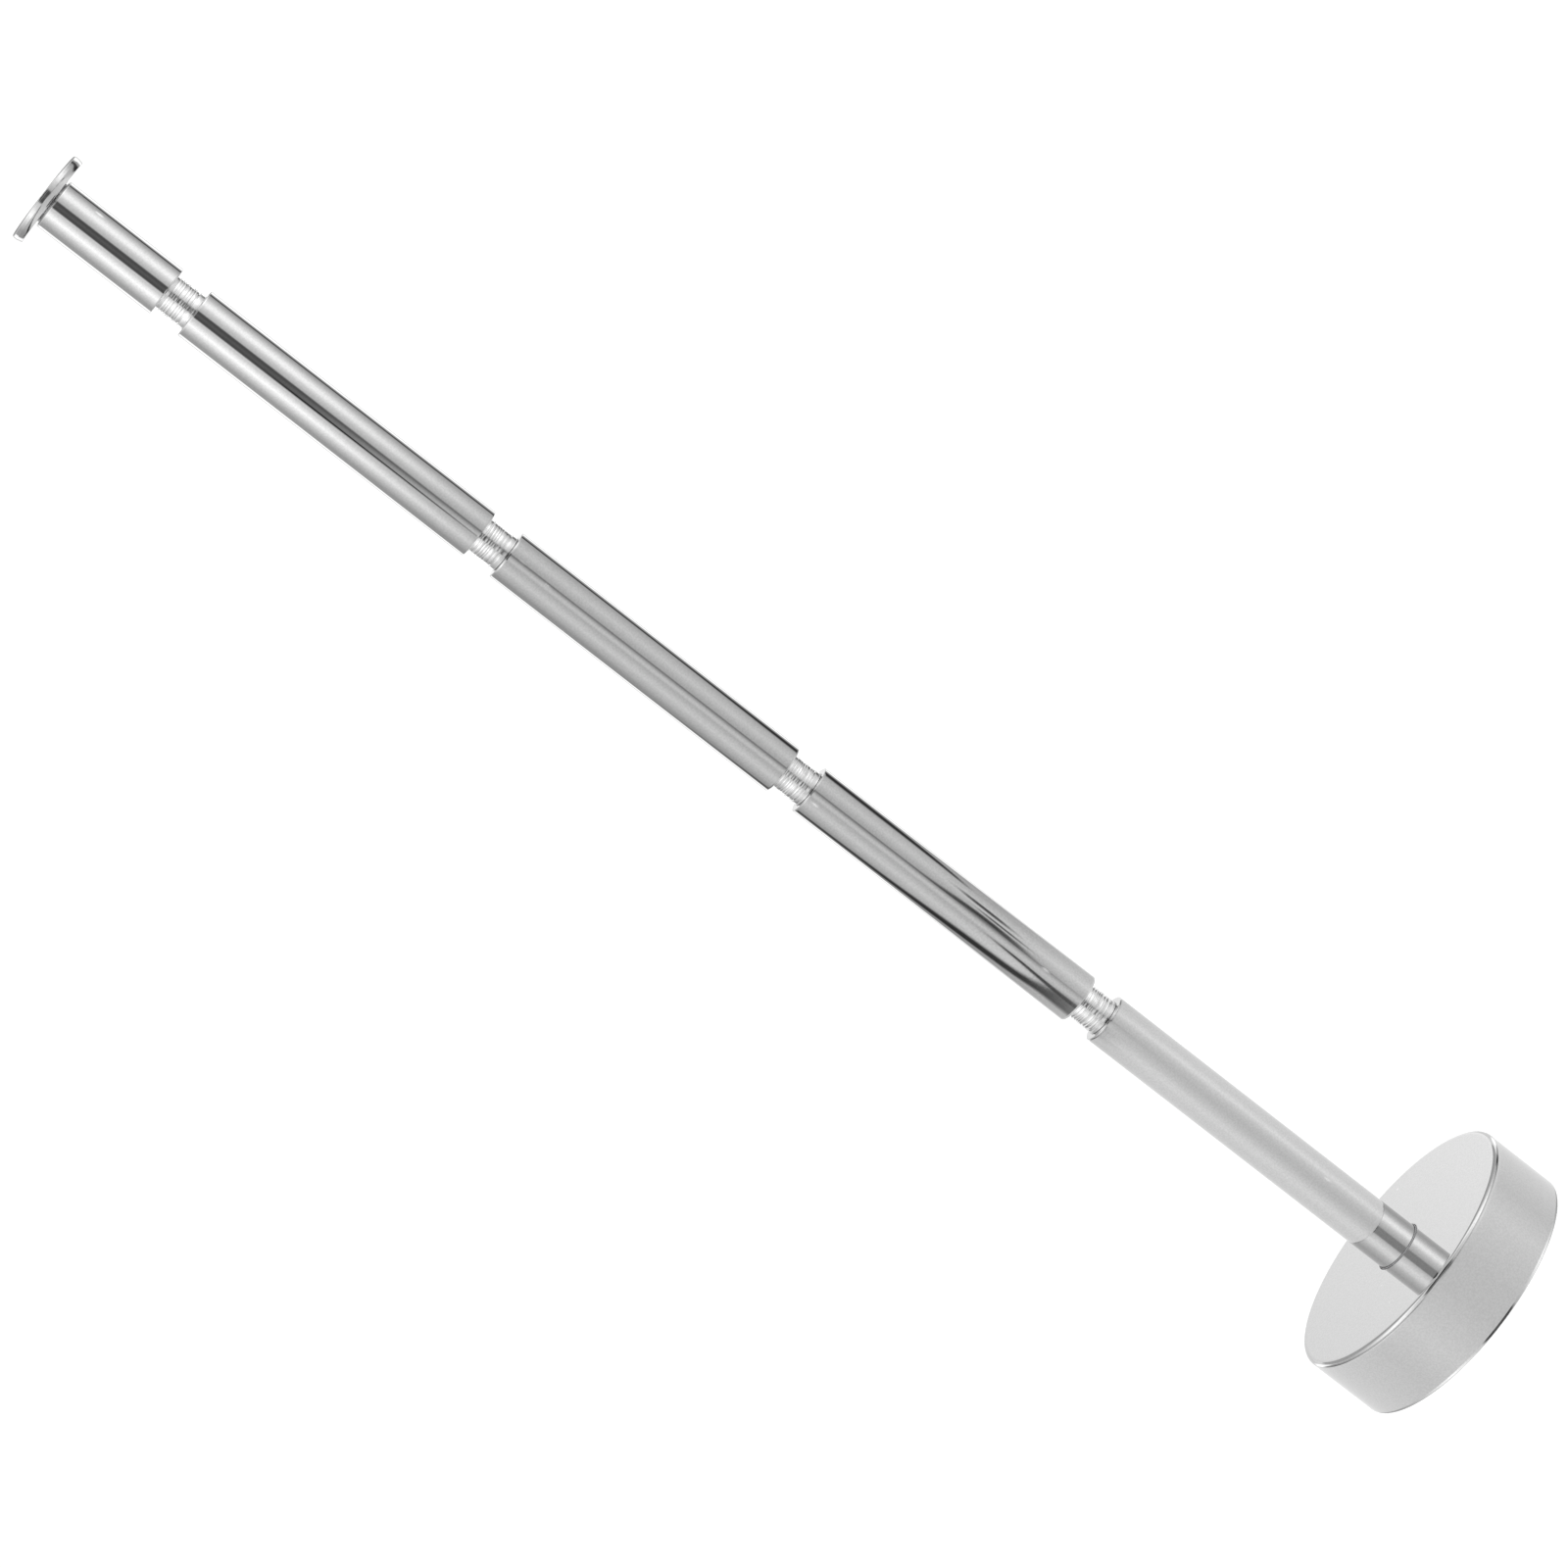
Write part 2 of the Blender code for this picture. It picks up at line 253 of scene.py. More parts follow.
# (degrees round the rail, brightness), from the rail's upper edge to its lower one
TENT_LOOKS = {
    "free_end": [(-180, 0.50), (-126, 0.52), (-105, 0.80), (-88, 1.15), (-72, 1.50), (-60, 1.48),
                 (-45, 1.05), (-30, 0.80), (-22, 0.70), (-17, 0.14), (-12, 0.10), (0, 0.15),
                 (11, 0.10), (16, 0.14), (21, 0.93), (30, 1.00), (45, 1.42), (58, 1.70),
                 (75, 1.28), (90, 0.95), (105, 0.74), (122, 0.56), (180, 0.48)],
    "middle": [(-180, 0.50), (-112, 0.62), (-90, 0.76), (-62, 0.88), (-45, 0.78), (-28, 0.65),
               (-19, 0.60), (-14, 0.24), (-10, 0.40), (0, 0.74), (8, 0.86), (14, 0.80),
               (20, 0.68), (28, 0.72), (45, 0.86), (60, 0.92), (78, 0.78), (95, 0.68),
               (110, 0.56), (125, 0.46), (180, 0.42)],
    "wall_end": [(-180, 1.00), (-120, 0.98), (-90, 0.98), (-62, 1.13), (-45, 0.94), (-30, 0.84),
                 (-10, 0.77), (5, 0.79), (24, 0.88), (45, 1.02), (60, 1.05), (90, 0.97),
                 (120, 0.97), (180, 1.00)],
    "base_side": [(-180, 0.95), (-125, 0.92), (-98, 0.84), (-71, 0.97), (-45, 0.88), (-25, 0.82),
                  (0, 0.82), (43, 0.96), (74, 0.87), (121, 0.95), (180, 0.92)],
    "beside_cover": [(-180, 1.10), (-140, 0.85), (-118, 0.80), (-105, 0.92), (-90, 1.25),
                     (-75, 1.85), (-62, 2.00), (-45, 1.35), (-30, 1.05), (-22, 0.90),
                     (-16, 0.50), (13, 0.50), (18, 1.10), (24, 1.25), (45, 1.65), (60, 1.55),
                     (75, 1.20), (90, 1.00), (110, 0.82), (130, 0.85), (180, 1.10)],
}


def band_ramp(tree, angle, stops):
    """Brightness round the rail, from (degrees, brightness) stops; the ramp holds half of it."""
    place = calc(tree, "ADD", calc(tree, "DIVIDE", angle, 360.0), 0.5)
    ramp = add_node(tree, "ShaderNodeValToRGB", {0: place})
    bands = ramp.color_ramp.elements
    while len(bands) < len(stops):
        bands.new(1.0)
    for band, (degrees, brightness) in zip(bands, stops):
        band.position = degrees / 360 + 0.5
        band.color = (brightness / 2, brightness / 2, brightness / 2, 1)
    return calc(tree, "MULTIPLY", ramp.outputs[0], 2.0)


# %% [markdown]
# Dark lines are painted into the cloth's glow where a studio would hang black cards, and the metal
# shows them as painted dark reflections that drift along the rail. Each one is a path over the
# cloth: at a station it has an angle, a half width and a darkness. Curve nodes hold the three, so a
# line can start, bend, swell and fade out.

# %% Dark lines on the cloth
PATH_LENGTH = 420.0      # stations in millimetres that the curves cover
WIDEST_LINE = 60.0

# (station in millimetres from the wall, degrees round the rail, half width, darkness)
DARK_LINES = {
    "upper_edge": [(401, -142, 13, 0.80), (331, -141, 13, 0.80), (281, -138, 14, 0.82),
                   (231, -135, 16, 0.86), (201, -132, 23, 0.92), (181, -130, 25, 0.92),
                   (166, -126, 21, 0.92), (156, -117, 14, 0.88), (151, -109, 9, 0.60),
                   (147, -102, 5, 0.0)],
    "upper_card": [(155, -66, 5, 0.0), (149, -65, 9, 0.85), (143, -64, 10, 0.90),
                   (137, -63, 8, 0.60), (129, -62, 5, 0.0)],
    "upper_fold": [(147, -45, 5, 0.0), (142, -43, 6, 0.80), (136, -42, 6, 0.80),
                   (128, -41, 4, 0.0)],
    "centre": [(173, -14, 5, 0.0), (156, -16, 8, 0.60), (149, -22, 11, 0.85),
               (143, -25, 12, 0.88), (137, -23, 12, 0.85), (131, -19, 9, 0.60), (122, -13, 6, 0.0)],
    "slot_edge": [(346, 12, 4, 0.0), (329, 12.5, 5, 0.85), (304, 13, 4.5, 0.80), (286, 14, 4, 0.40),
                  (266, 15, 3, 0.0)],
    "lower_edge": [(266, 150, 10, 0.0), (196, 144, 18, 0.75), (169, 132, 21, 0.86),
                   (156, 119, 24, 0.90), (147, 110, 27, 0.92), (138, 102, 28, 0.92),
                   (132, 97, 28, 0.92), (128, 89, 30, 0.92), (125, 79, 34, 0.90),
                   (121, 67, 44, 0.86), (117, 63, 54, 0.79), (112, 61, 56, 0.66),
                   (106, 58, 44, 0.30), (93, 60, 36, 0.0)],
    "lower_inner": [(144, 23, 4, 0.0), (136, 25.5, 6.5, 0.80), (129, 29, 9, 0.90),
                    (125, 33, 11, 0.90), (120, 36, 13, 0.70), (113, 36, 13, 0.50), (109, 36, 12, 0.0)],
}


def along_curve(tree, station, points, low, high):
    """A number between low and high that follows (station, number) points."""
    node = add_node(tree, "ShaderNodeFloatCurve", {"Value": station})
    curve = node.mapping.curves[0]
    points = sorted(points)
    points = [(0.0, points[0][1]), *points, (PATH_LENGTH, points[-1][1])]
    while len(curve.points) < len(points):
        curve.points.new(1.0, 1.0)
    for point, (place, number) in zip(curve.points, points):
        point.location = (place / PATH_LENGTH, (number - low) / (high - low))
        point.handle_type = "AUTO_CLAMPED"
    node.mapping.update()
    return calc(tree, "ADD", calc(tree, "MULTIPLY", node.outputs[0], high - low), low)


def dark_line(tree, angle, station, path):
    """How much of the cloth's glow is left beside one dark line: 1 away from it."""
    middle = along_curve(tree, station, [(p[0], p[1]) for p in path], -180.0, 180.0)
    half = along_curve(tree, station, [(p[0], p[2]) for p in path], 0.0, WIDEST_LINE)
    depth = along_curve(tree, station, [(p[0], p[3]) for p in path], 0.0, 1.0)
    away = calc(tree, "ABSOLUTE", calc(tree, "SUBTRACT", angle, middle))
    share = ease(tree, calc(tree, "DIVIDE", away, half), 1.0, 0.35)
    return calc(tree, "SUBTRACT", 1.0, calc(tree, "MULTIPLY", share, depth))


# %% [markdown]
# Close to the base the rail mirrors the cover's face, which mirrors the far end of the tent in its
# turn. That end therefore carries a look of its own. Straight under the rail the cloth is plain,
# because the cover's face shows that part of it to the camera. On the rail's far side the cloth's
# bands stop short, and past them the cloth is painted as a bright white backdrop, which makes the
# rail's rims melt into the background; straight behind it is painted dimmer, so that the cover's rim
# stays grey. Beyond the stretches that this camera sees, the free end's look goes on, so that the
# metal reads as chrome from other sides too, and the tent's two ends are closed with cloth that
# darkens downwards.

# %% Tent
BACKDROP_GLOW, BEHIND_GLOW = 1.6, 0.9
CLOTH_SHARE, TIP_SHARE = 0.93, 0.908     # of the rail's width, away from the wall and at its tip
FACE_GLOW, FACE_SLOPE = 1.09, 0.83
END_GLOW, END_SLOPE = 0.75, 0.40
TENT_PANELS = 128

# Stretches of the rail, in metres from the wall, over which one look turns into the next
FREE_END_TO_MIDDLE = (0.345, 0.270)
MIDDLE_TO_WALL_END = (0.150, 0.085)
RAIL_TO_BASE_SIDE = (0.0175, 0.0165)
BASE_SIDE_TO_BACK = (-0.010, -0.030)
RAIL_TO_COVER = (0.404, 0.410)
COVER_TO_FRONT = (0.465, 0.490)
WALL_TO_SHARE = (0.06, 0.18)
SHARE_TO_TIP = (0.27, 0.36)
# Turns round the rail from the camera's side, and shares of the tent's half length
BEHIND_FROM, BEHIND_TO = math.radians(150), math.radians(156)
UNDER_FROM, UNDER_TO = math.radians(168), math.radians(173)
END_FROM, END_TO = 0.96 * TENT_HALF_LENGTH, 0.99 * TENT_HALF_LENGTH


def tent_cloth():
    """The tent's glow: one look for each stretch of the rail, with soft changes between them."""
    finish = bpy.data.materials.new("tent_cloth")
    tree = empty_tree(finish)
    spot = add_node(tree, "ShaderNodeTexCoord").outputs["Object"]
    part = add_node(tree, "ShaderNodeSeparateXYZ", {0: spot})
    turn = calc(tree, "ARCTAN2", part.outputs["X"], part.outputs["Z"])
    reach = 1 + TENT_RADIUS / CAMERA_HEIGHT
    mirrored = calc(tree, "SUBTRACT", CAMERA_OVER * (reach - 1), part.outputs["Y"])
    station = calc(tree, "DIVIDE", mirrored, reach)
    past_rail = ease(tree, station, *RAIL_TO_COVER)
    cloth = ease(tree, station, *WALL_TO_SHARE, 1.0, CLOTH_SHARE)
    cloth = blend_values(tree, ease(tree, station, *SHARE_TO_TIP), cloth, TIP_SHARE)
    cloth = blend_values(tree, past_rail, cloth, 1.0)
    across = calc(tree, "DIVIDE", calc(tree, "SINE", calc(tree, "DIVIDE", turn, 2.0)), cloth)
    on_cloth = calc(tree, "MINIMUM", calc(tree, "MAXIMUM", across, -1.0), 1.0)
    angle = calc(tree, "MULTIPLY", calc(tree, "DEGREES", calc(tree, "ARCSINE", on_cloth)), 2.0)
    looks = {name: band_ramp(tree, angle, stops) for name, stops in TENT_LOOKS.items()}
    to_middle = ease(tree, station, *FREE_END_TO_MIDDLE)
    glow = blend_values(tree, to_middle, looks["free_end"], looks["middle"])
    glow = blend_values(tree, ease(tree, station, *MIDDLE_TO_WALL_END), glow, looks["wall_end"])
    covered = calc(tree, "DIVIDE", station, PATH_LENGTH * MM)
    for path in DARK_LINES.values():
        glow = calc(tree, "MULTIPLY", glow, dark_line(tree, angle, covered, path))
    bare = ease(tree, calc(tree, "ABSOLUTE", across), 0.99, 1.02)
    round_turn = calc(tree, "ABSOLUTE", turn)
    backdrop = ease(tree, round_turn, BEHIND_FROM, BEHIND_TO, BACKDROP_GLOW, BEHIND_GLOW)
    glow = blend_values(tree, bare, glow, backdrop)
    glow = blend_values(tree, ease(tree, station, *RAIL_TO_BASE_SIDE), glow, looks["base_side"])
    glow = blend_values(tree, ease(tree, station, *BASE_SIDE_TO_BACK), glow, looks["free_end"])
    glow = blend_values(tree, past_rail, glow, looks["beside_cover"])
    glow = blend_values(tree, ease(tree, station, *COVER_TO_FRONT), glow, looks["free_end"])
    under = ease(tree, round_turn, UNDER_FROM, UNDER_TO)
    slope = calc(tree, "MULTIPLY", part.outputs["X"], FACE_SLOPE)
    glow = blend_values(tree, under, glow, calc(tree, "SUBTRACT", FACE_GLOW, slope))
    at_end = ease(tree, calc(tree, "ABSOLUTE", part.outputs["Y"]), END_FROM, END_TO)
    rise = calc(tree, "MULTIPLY", part.outputs["Z"], END_SLOPE)
    glow = blend_values(tree, at_end, glow, calc(tree, "ADD", END_GLOW, rise))
    emit = add_node(tree, "ShaderNodeEmission", {"Color": WHITE, "Strength": glow})
    add_node(tree, "ShaderNodeOutputMaterial", {"Surface": emit.outputs[0]})
    return finish


shape = bmesh.new()
bmesh.ops.create_cone(
    shape, cap_ends=True, segments=TENT_PANELS, radius1=TENT_RADIUS, radius2=TENT_RADIUS,
    depth=2 * TENT_HALF_LENGTH, matrix=Matrix.Rotation(math.pi / 2, 4, "X"))
tent = object_from(shape, "light_tent")
tent.data.materials.append(tent_cloth())
tent.visible_camera = tent.visible_diffuse = tent.visible_transmission = False
tent.visible_shadow = tent.visible_volume_scatter = False
floor.visible_glossy = False     # metal sees the tent's cloth there instead
print("tent of", len(tent.data.polygons), "panels,", len(DARK_LINES), "dark lines")

# %% [markdown]
# ## Shared marks
# Three kinds of mark appear on more than one finish, so each is a node group with its own inputs:
# fine rings left by a lathe or a polishing belt, a haze where hands have touched the metal, and
# short stray scratches. Each group gives out a mask or a height that changes over the surface.

# %% Node groups


def new_group(name, inputs, outputs):
    """A shader node group with number sockets, and its input and output nodes."""
    group = bpy.data.node_groups.new(name, "ShaderNodeTree")
    for socket_name, value in inputs.items():
        socket = group.interface.new_socket(
            name=socket_name, in_out="INPUT", socket_type="NodeSocketFloat")
        socket.default_value = value
    for socket_name in outputs:
        group.interface.new_socket(
            name=socket_name, in_out="OUTPUT", socket_type="NodeSocketFloat")
    return group, group.nodes.new("NodeGroupInput"), group.nodes.new("NodeGroupOutput")


def lathe_rings_group():
    """Rings round the rail's axis: a one-way noise along it, broken up a little round it."""
    group, given, result = new_group(
        "lathe_rings", {"Rings per metre": 3000.0, "Breaks": 0.3}, ["Height", "Mask"])
    spot = add_node(group, "ShaderNodeTexCoord").outputs["Object"]
    place = add_node(group, "ShaderNodeSeparateXYZ", {0: spot}).outputs["Y"]
    step = calc(group, "MULTIPLY", place, given.outputs["Rings per metre"])
    rings = add_node(group, "ShaderNodeTexNoise", {"W": step, "Scale": 1.0, "Detail": 3.0},
                     noise_dimensions="1D").outputs[0]
    gaps = add_node(group, "ShaderNodeTexNoise", {"Vector": spot, "Scale": 420.0, "Detail": 2.0})
    uneven = calc(group, "MULTIPLY", calc(group, "SUBTRACT", gaps.outputs[0], 0.5),
                  given.outputs["Breaks"])
    height = calc(group, "ADD", rings, uneven)
    group.links.new(height, result.inputs["Height"])
    group.links.new(ease(group, height, 0.45, 0.75), result.inputs["Mask"])
    return group


def handling_haze_group():
    """Soft blotches where the surface was touched and wiped."""
    group, given, result = new_group("handling_haze", {"Scale": 45.0, "Cover": 0.5}, ["Mask"])
    spot = add_node(group, "ShaderNodeTexCoord").outputs["Object"]
    cloud = add_node(group, "ShaderNodeTexNoise", {
        "Vector": spot, "Scale": given.outputs["Scale"], "Detail": 5.0, "Distortion": 0.6})
    start = calc(group, "SUBTRACT", 0.78, calc(group, "MULTIPLY", given.outputs["Cover"], 0.4))
    end = calc(group, "ADD", start, 0.22)
    group.links.new(ease(group, cloud.outputs[0], start, end), result.inputs["Mask"])
    return group


def stray_scratches_group():
    """A few short scratches: stretched cells, of which only some carry a mark."""
    group, given, result = new_group(
        "stray_scratches", {"Scale": 300.0, "Share": 0.1, "Width": 0.1}, ["Mask"])
    spot = add_node(group, "ShaderNodeTexCoord").outputs["Object"]
    lean = add_node(group, "ShaderNodeMapping", {
        "Vector": spot, "Rotation": (0.5, 0.3, 0.4), "Scale": (1.0, 0.3, 1.0)})
    cells = add_node(group, "ShaderNodeTexVoronoi", {
        "Vector": lean.outputs[0], "Scale": given.outputs["Scale"]}, feature="F1")
    tick = ease(group, cells.outputs["Distance"], given.outputs["Width"], 0.0)
    chance = add_node(group, "ShaderNodeSeparateColor", {0: cells.outputs["Color"]}).outputs[0]
    chosen = calc(group, "LESS_THAN", chance, given.outputs["Share"])
    group.links.new(calc(group, "MULTIPLY", tick, chosen), result.inputs["Mask"])
    return group


lathe_rings = lathe_rings_group()
handling_haze = handling_haze_group()
stray_scratches = stray_scratches_group()
print("groups", [group.name for group in bpy.data.node_groups])

# %% [markdown]
# ## Finishes
# Every finish is a Principled shader. What is the same all over, such as being metal, is set on
# the shader itself; what changes over the surface comes from the groups above.

# %% Finish helpers


def new_finish(name, **fixed):
    """A material with a Principled shader whose named sockets hold fixed values."""
    finish = bpy.data.materials.new(name)
    tree = empty_tree(finish)
    shader = add_node(tree, "ShaderNodeBsdfPrincipled",
                      {socket.replace("_", " "): value for socket, value in fixed.items()})
    add_node(tree, "ShaderNodeOutputMaterial", {"Surface": shader.outputs[0]})
    return finish, tree, shader


def use_group(tree, group, **inputs):
    """Place a node group in a finish; an underscore in an input's name stands for a space."""
    node = add_node(tree, "ShaderNodeGroup", node_tree=group)
    for name, value in inputs.items():
        node.inputs[name.replace("_", " ")].default_value = value
    return node


def tint(tree, share, first, second):
    """A colour that goes from first to second with share."""
    node = add_node(tree, "ShaderNodeMix", {0: share, 6: (*first, 1), 7: (*second, 1)},
                    data_type="RGBA")
    return node.outputs[2]


def roughen(tree, shader, mask, rise, base):
    """Roughness that starts at base and grows with a mask."""
    rough = calc(tree, "ADD", calc(tree, "MULTIPLY", mask, rise), base)
    tree.links.new(rough, shader.inputs["Roughness"])


def relief(tree, shader, height, depth):
    """Feed a height into the shader's normal through a Bump node; depth is in metres."""
    bump = add_node(tree, "ShaderNodeBump", {"Height": height, "Distance": depth, "Strength": 1.0})
    tree.links.new(bump.outputs[0], shader.inputs["Normal"])


def fine_grain(tree, scale, detail):
    """The height of a fine even grain."""
    spot = add_node(tree, "ShaderNodeTexCoord").outputs["Object"]
    grain = add_node(tree, "ShaderNodeTexNoise", {"Vector": spot, "Scale": scale, "Detail": detail})
    return grain.outputs[0]


# %% [markdown]
# Polished chrome is bright grey metal with a mirror's roughness. Faint rings from the polishing
# belt, a fine grain, a little haze and a few bright scratches keep it from being a perfect mirror.

# %% Polished chrome
CHROME_CLEAN, CHROME_HAZY = (0.63, 0.63, 0.63), (0.55, 0.55, 0.55)
SCRATCH_BRIGHT = (0.95, 0.95, 0.95, 1)


def polished_chrome(name, haze_cover, scratch_share):
    """Mirror chrome with belt rings, grain, haze and scratches."""
    finish, tree, shader = new_finish(name, Metallic=1.0)
    haze = use_group(tree, handling_haze, Scale=38.0, Cover=haze_cover).outputs["Mask"]
    ticks = use_group(tree, stray_scratches, Scale=320.0, Share=scratch_share, Width=0.16)
    rings = use_group(tree, lathe_rings, Rings_per_metre=5200.0, Breaks=0.5)
    grain = fine_grain(tree, scale=2200.0, detail=2.0)
    speckle = ease(tree, grain, 0.3, 0.7, low=0.0, high=0.7)
    dulled = calc(tree, "ADD", calc(tree, "MULTIPLY", haze, 0.3), speckle)
    plated = tint(tree, dulled, CHROME_CLEAN, CHROME_HAZY)
    marked = add_node(tree, "ShaderNodeMix", {
        0: ticks.outputs["Mask"], 6: plated, 7: SCRATCH_BRIGHT}, data_type="RGBA")
    tree.links.new(marked.outputs[2], shader.inputs["Base Color"])
    gloss = calc(tree, "ADD", calc(tree, "MULTIPLY", haze, 0.035), 0.035)
    gloss = calc(tree, "ADD", gloss, calc(tree, "MULTIPLY", rings.outputs["Mask"], 0.015))
    gloss = calc(tree, "ADD", gloss, calc(tree, "MULTIPLY", ticks.outputs["Mask"], 0.40))
    tree.links.new(gloss, shader.inputs["Roughness"])
    relief(tree, shader, rings.outputs["Height"], depth=0.0000004)
    return finish


rail_chrome = polished_chrome("rail_chrome", haze_cover=0.45, scratch_share=0.32)
cover_chrome = polished_chrome("cover_chrome", haze_cover=0.40, scratch_share=0.02)

# %% [markdown]
# The necks in the grooves were turned on a lathe and plated without polishing, so they are bright
# but not a mirror: rings of the tool show as real ridges in the mesh, with finer ones in the finish.

# %% Turned chrome
turned_chrome, tree, shader = new_finish("turned_chrome", Metallic=1.0)
rings = use_group(tree, lathe_rings, Rings_per_metre=7000.0, Breaks=0.9)
haze = use_group(tree, handling_haze, Scale=260.0, Cover=0.6).outputs["Mask"]
tree.links.new(tint(tree, haze, (0.80, 0.80, 0.80), (0.58, 0.58, 0.58)), shader.inputs["Base Color"])
roughen(tree, shader, rings.outputs["Mask"], rise=0.12, base=0.09)
relief(tree, shader, rings.outputs["Height"], depth=0.000012)

# %% [markdown]
# Hidden steel parts are zinc plated: a satin, slightly blue grey that dulls in patches. The two
# washers are bare spring steel. The ring is matt rubber with dust on it, and the bush is moulded nylon.

# %% Zinc, spring steel, rubber and nylon
zinc_plate, tree, shader = new_finish("zinc_plate", Metallic=1.0)
dull = use_group(tree, handling_haze, Scale=150.0, Cover=0.75).outputs["Mask"]
marks = use_group(tree, lathe_rings, Rings_per_metre=2600.0, Breaks=2.5)
ticks = use_group(tree, stray_scratches, Scale=160.0, Share=0.16, Width=0.12).outputs["Mask"]
plated = tint(tree, dull, (0.54, 0.56, 0.58), (0.47, 0.49, 0.51))
bright = add_node(tree, "ShaderNodeMix", {0: ticks, 6: plated, 7: (0.72, 0.73, 0.74, 1)},
                  data_type="RGBA")
tree.links.new(bright.outputs[2], shader.inputs["Base Color"])
roughen(tree, shader, dull, rise=0.16, base=0.30)
relief(tree, shader, marks.outputs["Height"], depth=0.00002)

spring_steel, tree, shader = new_finish("spring_steel", Metallic=1.0)
dull = use_group(tree, handling_haze, Scale=260.0, Cover=0.8).outputs["Mask"]
tree.links.new(tint(tree, dull, (0.60, 0.60, 0.61), (0.48, 0.48, 0.48)), shader.inputs["Base Color"])
roughen(tree, shader, dull, rise=0.20, base=0.34)

black_rubber, tree, shader = new_finish("black_rubber", Metallic=0.0)
dust = use_group(tree, handling_haze, Scale=140.0, Cover=0.55).outputs["Mask"]
tree.links.new(tint(tree, dust, (0.020, 0.020, 0.021), (0.060, 0.059, 0.057)),
               shader.inputs["Base Color"])
roughen(tree, shader, dust, rise=0.18, base=0.66)
relief(tree, shader, fine_grain(tree, scale=2600.0, detail=3.0), depth=0.00006)

grey_nylon, tree, shader = new_finish("grey_nylon", Metallic=0.0)
worn = use_group(tree, handling_haze, Scale=300.0, Cover=0.6).outputs["Mask"]
tree.links.new(tint(tree, worn, (0.290, 0.290, 0.295), (0.370, 0.370, 0.375)),
               shader.inputs["Base Color"])
roughen(tree, shader, worn, rise=0.15, base=0.45)
relief(tree, shader, fine_grain(tree, scale=5000.0, detail=2.0), depth=0.00002)
print("finishes", [finish.name for finish in bpy.data.materials if finish.users])

# %% [markdown]
# ## Turning a piece
# Nearly every piece comes off a lathe, so it is made the same way: a few corners of its outline
# are spun once round the rail's axis. A corner is (distance from the wall, radius, rounding). After
# the spin, the ring of edges at a rounded corner is bevelled. Plain corners close beside a rounded
# one keep the long mirror faces straight, because smooth shading bends light only as far as them.

# %% Spin helpers
NEAR = 0.00002
SAME_POINT = 1e-7
SHARP_DEG = 32.0
ROUND_STEPS = 4
HOLD = 0.5 * MM          # distance of a plain corner that holds a face straight


def ring_edges(shape, place, radius):
    """The edges of the ring at one corner of a spun outline."""
    def on_ring(vert):
        return (abs(vert.co.y + place) < NEAR
                and abs(math.hypot(vert.co.x, vert.co.z) - radius) < NEAR)
    return [edge for edge in shape.edges if all(on_ring(vert) for vert in edge.verts)]


def spin_once(shape, geometry, sides):
    """Spin geometry once round the rail's axis and close the seam."""
    bmesh.ops.spin(shape, geom=geometry, cent=(0, 0, 0), axis=(0, 1, 0),
                   angle=math.tau, steps=sides, use_merge=True)
    bmesh.ops.remove_doubles(shape, verts=shape.verts, dist=SAME_POINT)
    bmesh.ops.recalc_face_normals(shape, faces=shape.faces)


def spin_outline(corners, sides=128):
    """Spin an outline about the rail's axis; an outline clear of the axis closes on itself."""
    shape = bmesh.new()
    verts = [shape.verts.new((radius, -place, 0.0)) for place, radius, _ in corners]
    pairs = list(zip(verts, verts[1:]))
    if min(radius for _, radius, _ in corners) > 0.0:
        pairs.append((verts[-1], verts[0]))
    edges = [shape.edges.new(pair) for pair in pairs]
    spin_once(shape, verts + edges, sides)
    for place, radius, rounding in corners:
        if rounding:
            bmesh.ops.bevel(shape, geom=ring_edges(shape, place, radius), offset=rounding,
                            segments=ROUND_STEPS, profile=0.5, affect="EDGES", material=-1)
    return shape


def finish_piece(shape, name, finish, body, node=None):
    """Make the shape an object that rides on a body and stands for a CAD node."""
    piece = object_from(shape, name)
    mesh = piece.data
    mesh.shade_smooth()
    mesh.set_sharp_from_angle(angle=math.radians(SHARP_DEG))
    mesh.materials.append(finish)
    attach(piece, body)
    if node:
        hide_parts(node)
    print(name, len(mesh.polygons), "faces")
    return piece


# %% [markdown]
# ## Rail sections
# The rail is made of polished lengths with a tapped hole in each end. Their edges are only just
# broken, so the shoulders beside a groove look crisp.

# %% Rail sections
TAPPED_RADIUS, TAPPED_DEPTH = 4.0 * MM, 12.0 * MM
TIP_TAPPED_RADIUS, TIP_TAPPED_DEPTH = 3.0 * MM, 10.0 * MM
BROKEN_EDGE = 0.18 * MM

for node in sections:
    start, end = along(node)
    is_tip = node == sections[-1]
    hole, depth = (TIP_TAPPED_RADIUS, TIP_TAPPED_DEPTH) if is_tip else (TAPPED_RADIUS, TAPPED_DEPTH)
    shape = spin_outline([
        (start + TAPPED_DEPTH, 0.0, 0),
        (start + TAPPED_DEPTH, TAPPED_RADIUS, 0),
        (start, TAPPED_RADIUS, 0),
        (start, rail_radius - HOLD, 0),
        (start, rail_radius, BROKEN_EDGE),
        (start + HOLD, rail_radius, 0),
        (end - HOLD, rail_radius, 0),
        (end, rail_radius, BROKEN_EDGE),
        (end, rail_radius - HOLD, 0),
        (end, hole, 0),
        (end - depth, hole, 0),
        (end - depth, 0.0, 0),
    ])
    finish_piece(shape, node + "_polished", rail_chrome, "wall_base", node)

# %% [markdown]
# ## Threads
# A screw thread is a small outline that turns and moves along at the same time. The spin operator
# does both when it is given a step to move by. The ridge sinks a little into the plain shank, so
# no gap shows between them.

# %% Thread helper
THREAD_STEPS = 30
THREAD_SINK = 0.05 * MM
THREAD_FOOT, THREAD_CROWN = 0.44, 0.07   # half widths of the ridge, in pitches
THREAD_LEAD = 0.6 * MM   # chamfer at the end of a shank


